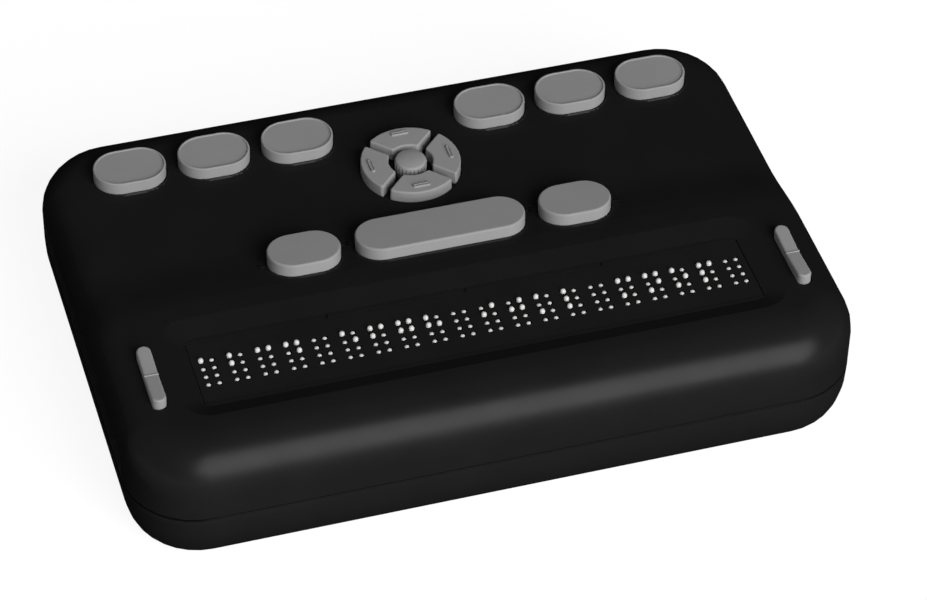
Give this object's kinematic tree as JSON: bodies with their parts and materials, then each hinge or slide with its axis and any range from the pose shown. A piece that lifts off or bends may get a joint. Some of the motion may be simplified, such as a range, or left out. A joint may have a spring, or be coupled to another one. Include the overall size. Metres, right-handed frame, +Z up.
{
  "type": "braille display",
  "caption": "Portable braille display: low rounded case with a braille keyboard, space bar, cursor pad, a line of refreshable pins and a panning rocker at each end.",
  "frame": {"origin": "middle of the footprint, on the plane of the feet's undersides", "axes": "X to the user's right along the braille line, Y from the front edge to the back, Z up"},
  "size_m": [0.17, 0.116, 0.035],
  "materials": {
    "case_plastic": "fine matt grain, near black",
    "key_plastic": "smooth satin, mid grey",
    "pin_plastic": "smooth, off white",
    "plate_plastic": "fine matt, black",
    "foot_rubber": "matt",
    "cell_plastic": "moulded",
    "circuit_board": "solder mask",
    "dark_plastic": "moulded",
    "steel": "plain steel",
    "battery_wrap": "shrink wrap",
    "flex_film": "clear amber film"
  },
  "bodies": {
    "case": {"top_cover": "case_plastic", "bottom_cover": "case_plastic", "battery_door": "case_plastic", "battery_door_screws": "steel", "case_screws": "steel", "rubber_feet": "foot_rubber", "reading_plate": "plate_plastic", "braille_cells": "cell_plastic", "cell_board": "circuit_board", "cell_board_screws": "steel", "rocker_pins": "steel", "key_board": "circuit_board", "key_board_screws": "steel", "key_switches": "dark_plastic", "rocker_switches": "dark_plastic", "main_board": "circuit_board", "main_board_screws": "steel", "processor_chip": "dark_plastic", "radio_shield": "steel", "usb_socket": "steel", "card_socket": "steel", "power_switch": "dark_plastic", "battery_pack": "battery_wrap", "battery_contacts": "steel", "ribbon_connectors": "dark_plastic", "ribbon_cables": "flex_film"},
    "raised_pins": {"raised_pins": "pin_plastic"},
    "lowered_pins": {"lowered_pins": "pin_plastic"},
    "dot_1_key": {"dot_1_key": "key_plastic"},
    "dot_2_key": {"dot_2_key": "key_plastic"},
    "dot_3_key": {"dot_3_key": "key_plastic"},
    "dot_4_key": {"dot_4_key": "key_plastic"},
    "dot_5_key": {"dot_5_key": "key_plastic"},
    "dot_6_key": {"dot_6_key": "key_plastic"},
    "cursor_right_key": {"cursor_right_key": "key_plastic"},
    "cursor_up_key": {"cursor_up_key": "key_plastic"},
    "cursor_left_key": {"cursor_left_key": "key_plastic"},
    "cursor_down_key": {"cursor_down_key": "key_plastic"},
    "select_key": {"select_key": "key_plastic"},
    "dot_7_key": {"dot_7_key": "key_plastic"},
    "space_key": {"space_key": "key_plastic"},
    "dot_8_key": {"dot_8_key": "key_plastic"},
    "left_rocker": {"left_rocker": "key_plastic"},
    "right_rocker": {"right_rocker": "key_plastic"},
    "power_button": {"power_button": "key_plastic"}
  },
  "joints": [
    {"name": "dot_1_press", "type": "slide", "parent": "case", "child": "dot_1_key", "axis": [0, 0, -1], "range_m": [0, 0.001], "stiffness_N_per_m": 400, "springref_m": -0.001},
    {"name": "dot_2_press", "type": "slide", "parent": "case", "child": "dot_2_key", "axis": [0, 0, -1], "range_m": [0, 0.001], "stiffness_N_per_m": 400, "springref_m": -0.001},
    {"name": "dot_3_press", "type": "slide", "parent": "case", "child": "dot_3_key", "axis": [0, 0, -1], "range_m": [0, 0.001], "stiffness_N_per_m": 400, "springref_m": -0.001},
    {"name": "dot_4_press", "type": "slide", "parent": "case", "child": "dot_4_key", "axis": [0, 0, -1], "range_m": [0, 0.001], "stiffness_N_per_m": 400, "springref_m": -0.001},
    {"name": "dot_5_press", "type": "slide", "parent": "case", "child": "dot_5_key", "axis": [0, 0, -1], "range_m": [0, 0.001], "stiffness_N_per_m": 400, "springref_m": -0.001},
    {"name": "dot_6_press", "type": "slide", "parent": "case", "child": "dot_6_key", "axis": [0, 0, -1], "range_m": [0, 0.001], "stiffness_N_per_m": 400, "springref_m": -0.001},
    {"name": "cursor_right_press", "type": "slide", "parent": "case", "child": "cursor_right_key", "axis": [0, 0, -1], "range_m": [0, 0.001], "stiffness_N_per_m": 400, "springref_m": -0.001},
    {"name": "cursor_up_press", "type": "slide", "parent": "case", "child": "cursor_up_key", "axis": [0, 0, -1], "range_m": [0, 0.001], "stiffness_N_per_m": 400, "springref_m": -0.001},
    {"name": "cursor_left_press", "type": "slide", "parent": "case", "child": "cursor_left_key", "axis": [0, 0, -1], "range_m": [0, 0.001], "stiffness_N_per_m": 400, "springref_m": -0.001},
    {"name": "cursor_down_press", "type": "slide", "parent": "case", "child": "cursor_down_key", "axis": [0, 0, -1], "range_m": [0, 0.001], "stiffness_N_per_m": 400, "springref_m": -0.001},
    {"name": "select_press", "type": "slide", "parent": "case", "child": "select_key", "axis": [0, 0, -1], "range_m": [0, 0.001], "stiffness_N_per_m": 400, "springref_m": -0.001},
    {"name": "dot_7_press", "type": "slide", "parent": "case", "child": "dot_7_key", "axis": [0, -0.0872, -0.9962], "range_m": [0, 0.001], "stiffness_N_per_m": 400, "springref_m": -0.001},
    {"name": "space_press", "type": "slide", "parent": "case", "child": "space_key", "axis": [0, -0.0872, -0.9962], "range_m": [0, 0.001], "stiffness_N_per_m": 400, "springref_m": -0.001},
    {"name": "dot_8_press", "type": "slide", "parent": "case", "child": "dot_8_key", "axis": [0, -0.0872, -0.9962], "range_m": [0, 0.001], "stiffness_N_per_m": 400, "springref_m": -0.001},
    {"name": "left_rocker_swing", "type": "hinge", "parent": "case", "child": "left_rocker", "pos_m": [-0.075, -0.0303, 0.029], "axis": [1, 0, 0], "range_deg": [-3.5, 3.5], "stiffness_Nm_per_rad": 0.07},
    {"name": "right_rocker_swing", "type": "hinge", "parent": "case", "child": "right_rocker", "pos_m": [0.075, -0.0303, 0.029], "axis": [1, 0, 0], "range_deg": [-3.5, 3.5], "stiffness_Nm_per_rad": 0.07},
    {"name": "power_button_press", "type": "slide", "parent": "case", "child": "power_button", "axis": [0, -1, 0], "range_m": [0, 0.0006], "stiffness_N_per_m": 800, "springref_m": -0.0005},
    {"name": "raised_pins_slide", "type": "slide", "parent": "case", "child": "raised_pins", "axis": [0, 0, -1], "range_m": [0, 0.00055], "stiffness_N_per_m": 4000, "springref_m": -0.0002},
    {"name": "lowered_pins_slide", "type": "slide", "parent": "case", "child": "lowered_pins", "axis": [0, 0, 1], "range_m": [0, 0.00055]}
  ]
}
